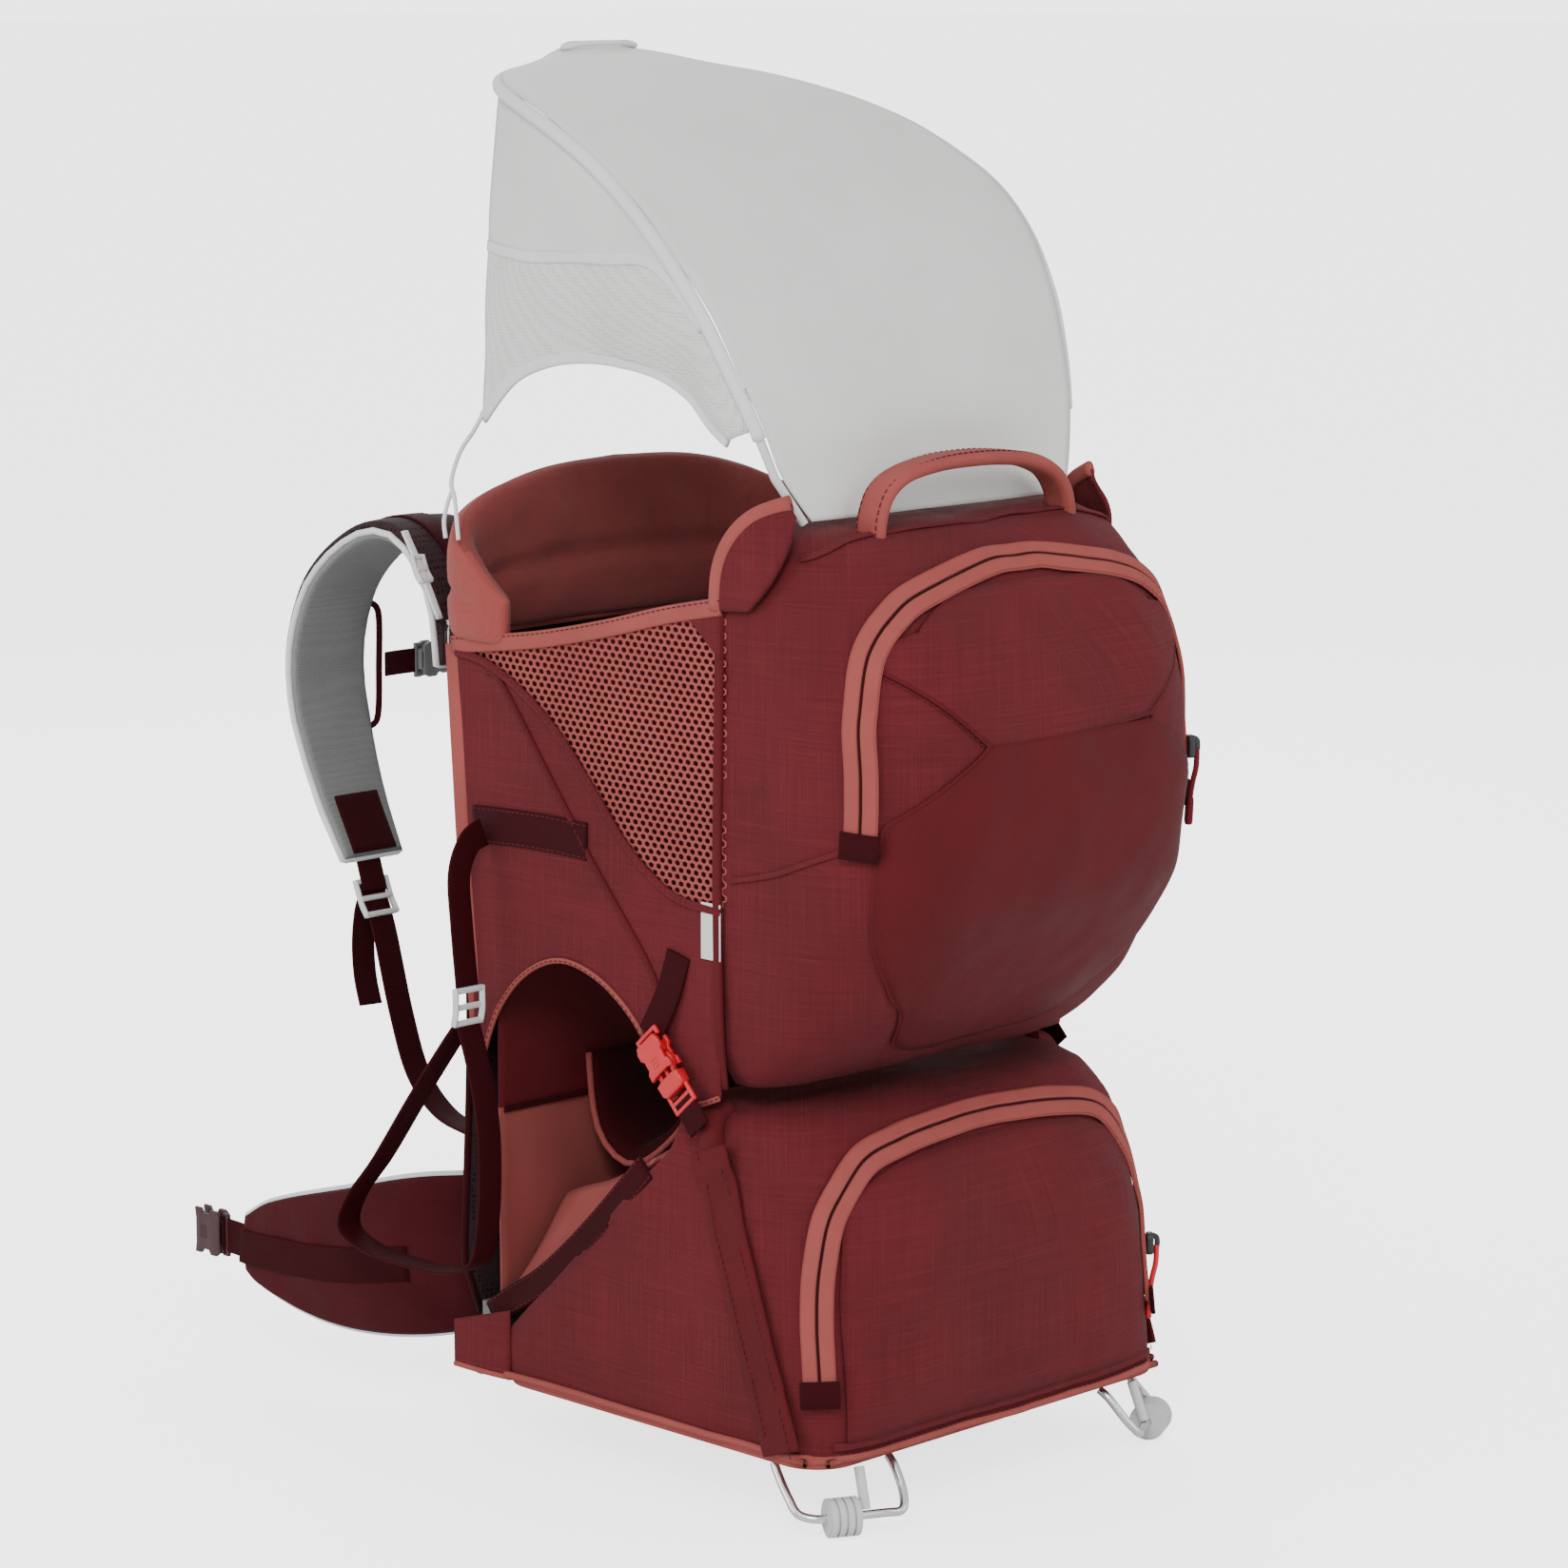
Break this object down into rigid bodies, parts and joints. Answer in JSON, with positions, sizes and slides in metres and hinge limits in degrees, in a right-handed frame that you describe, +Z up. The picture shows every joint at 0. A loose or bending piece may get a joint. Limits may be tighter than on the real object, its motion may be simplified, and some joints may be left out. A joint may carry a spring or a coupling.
{
  "type": "baby carrier backpack",
  "caption": "Framed child carrier backpack with cockpit seat, fold-out stand, pockets, adjustable harness and arched sun shade.",
  "frame": {"origin": "on the rear skid's flat bottom face, on the carrier's centre line, level with the back panel", "axes": "+X to the wearer's right, +Y towards the wearer, +Z up along the back"},
  "size_m": [0.42, 0.7088, 0.9625],
  "materials": {
    "frame_tube": "satin anodised tube",
    "stand_wire": "satin wire",
    "skid_rubber": "matt",
    "foot_rubber": "matt",
    "grey_plastic": "moulded, satin",
    "pale_plastic": "moulded, satin",
    "black_plastic": "moulded, satin",
    "red_plastic": "moulded, semi-gloss",
    "main_fabric": "cross-hatch woven nylon",
    "dark_fabric": "plain woven nylon",
    "webbing": "ribbed webbing",
    "zip_pull": "moulded with cord",
    "trim_fabric": "plain woven tape",
    "collar_fabric": "brushed knit",
    "shade_cloth": "light ripstop",
    "shade_rod": "covered rod"
  },
  "bodies": {
    "frame": {"back_frame": "frame_tube", "cross_bars": "frame_tube", "rear_skid": "skid_rubber", "hinge_brackets": "grey_plastic", "hinge_pins": "frame_tube", "back_panel": "dark_fabric", "torso_track": "black_plastic", "lumbar_pad": "dark_fabric", "collar_pad": "collar_fabric", "side_panel_left": "main_fabric", "side_panel_right": "main_fabric"},
    "base": {"base_frame": "frame_tube", "base_board": "trim_fabric", "stand_wires": "stand_wire", "foot_left": "foot_rubber", "foot_right": "foot_rubber", "foot_struts": "pale_plastic", "lower_bag": "main_fabric", "lower_pocket": "main_fabric", "lower_zip_track": "trim_fabric", "strut_pins": "frame_tube"},
    "strut": {"strut_frame": "frame_tube"},
    "cockpit": {"top_bag": "main_fabric", "top_pocket": "main_fabric", "top_zip_track": "trim_fabric", "ears": "trim_fabric", "grab_handle": "trim_fabric", "child_harness": "dark_fabric", "leg_buckle_sockets": "red_plastic"},
    "seat": {"child_seat": "dark_fabric"},
    "shade": {"shade_hoop": "shade_rod", "shade_canopy": "shade_cloth", "shade_curtain_left": "shade_cloth", "shade_curtain_right": "shade_cloth", "shade_pull_loop": "shade_cloth", "shade_tethers": "shade_cloth"},
    "harness": {"shoulder_yoke": "dark_fabric", "shoulder_strap_left": "dark_fabric", "shoulder_strap_right": "dark_fabric", "strap_ladder_locks": "pale_plastic", "strap_webbing_left": "webbing", "strap_webbing_right": "webbing", "load_lifters": "pale_plastic", "sternum_rails": "grey_plastic"},
    "sternum": {"sternum_buckle_socket": "grey_plastic"},
    "sternum_clip": {"sternum_buckle_prong": "grey_plastic"},
    "hip_left": {"hip_wing_left": "main_fabric", "hip_webbing_left": "webbing", "hip_buckle_socket": "pale_plastic"},
    "hip_right": {"hip_wing_right": "main_fabric", "hip_webbing_right": "webbing", "hip_buckle_prong": "pale_plastic"},
    "leg_clip_left": {"leg_buckle_prong_left": "red_plastic"},
    "leg_clip_right": {"leg_buckle_prong_right": "red_plastic"},
    "stirrup_left": {"stirrup_left": "webbing", "stirrup_lock_left": "pale_plastic"},
    "stirrup_right": {"stirrup_right": "webbing", "stirrup_lock_right": "pale_plastic"},
    "top_slider": {"top_zip_slider": "zip_pull"},
    "lower_slider": {"lower_zip_slider": "red_plastic"}
  },
  "joints": [
    {"name": "base_fold", "type": "hinge", "parent": "frame", "child": "base", "pos_m": [0, -0.028, 0.056], "axis": [-1, 0, 0], "range_deg": [0, 50], "deforming": ["side_panel_left", "side_panel_right", "lower_bag", "lower_pocket", "lower_zip_track", "lower_zip_slider", "child_seat", "shade_tethers"]},
    {"name": "strut_fold", "type": "hinge", "parent": "base", "child": "strut", "pos_m": [0, -0.322, 0.076], "axis": [-1, 0, 0], "range_deg": [0, 60]},
    {"name": "cockpit_fold", "type": "slide", "parent": "frame", "child": "cockpit", "axis": [0, 1, 0], "range_m": [0, 0.19]},
    {"name": "seat_height", "type": "slide", "parent": "frame", "child": "seat", "axis": [0, 0, 1], "range_m": [-0.05, 0]},
    {"name": "shade_tilt", "type": "hinge", "parent": "cockpit", "child": "shade", "pos_m": [0, -0.298, 0.66], "axis": [1, 0, 0], "range_deg": [0, 22]},
    {"name": "torso_adjust", "type": "slide", "parent": "frame", "child": "harness", "axis": [0, 0, 1], "range_m": [0, 0.1]},
    {"name": "sternum_height", "type": "slide", "parent": "harness", "child": "sternum", "axis": [0, 0, 1], "range_m": [-0.02, 0.02]},
    {"name": "sternum_release", "type": "slide", "parent": "sternum", "child": "sternum_clip", "axis": [1, 0, 0], "range_m": [0, 0.025]},
    {"name": "hip_wing_left_wrap", "type": "hinge", "parent": "frame", "child": "hip_left", "pos_m": [-0.088, 0.032, 0.11], "axis": [0, 0, -1], "range_deg": [0, 30]},
    {"name": "hip_wing_right_wrap", "type": "hinge", "parent": "frame", "child": "hip_right", "pos_m": [0.088, 0.032, 0.11], "axis": [0, 0, 1], "range_deg": [0, 30]},
    {"name": "leg_clip_left_release", "type": "slide", "parent": "cockpit", "child": "leg_clip_left", "axis": [0, -0.6691, -0.7431], "range_m": [0, 0.012]},
    {"name": "leg_clip_right_release", "type": "slide", "parent": "cockpit", "child": "leg_clip_right", "axis": [0, -0.6691, -0.7431], "range_m": [0, 0.012]},
    {"name": "stirrup_left_swing", "type": "hinge", "parent": "frame", "child": "stirrup_left", "pos_m": [-0.197, -0.038, 0.426], "axis": [1, 0, 0], "range_deg": [-20, 20]},
    {"name": "stirrup_right_swing", "type": "hinge", "parent": "frame", "child": "stirrup_right", "pos_m": [0.197, -0.038, 0.426], "axis": [1, 0, 0], "range_deg": [-20, 20]},
    {"name": "top_zip", "type": "slide", "parent": "cockpit", "child": "top_slider", "axis": [0, 0, 1], "range_m": [0, 0.06]},
    {"name": "lower_zip", "type": "slide", "parent": "base", "child": "lower_slider", "axis": [0, 0, 1], "range_m": [0, 0.05]}
  ],
  "couplings": [
    {"joint": "strut_fold", "follows": "base_fold", "ratio": 1.2},
    {"joint": "cockpit_fold", "follows": "base_fold", "m_per_rad": 0.21314}
  ]
}
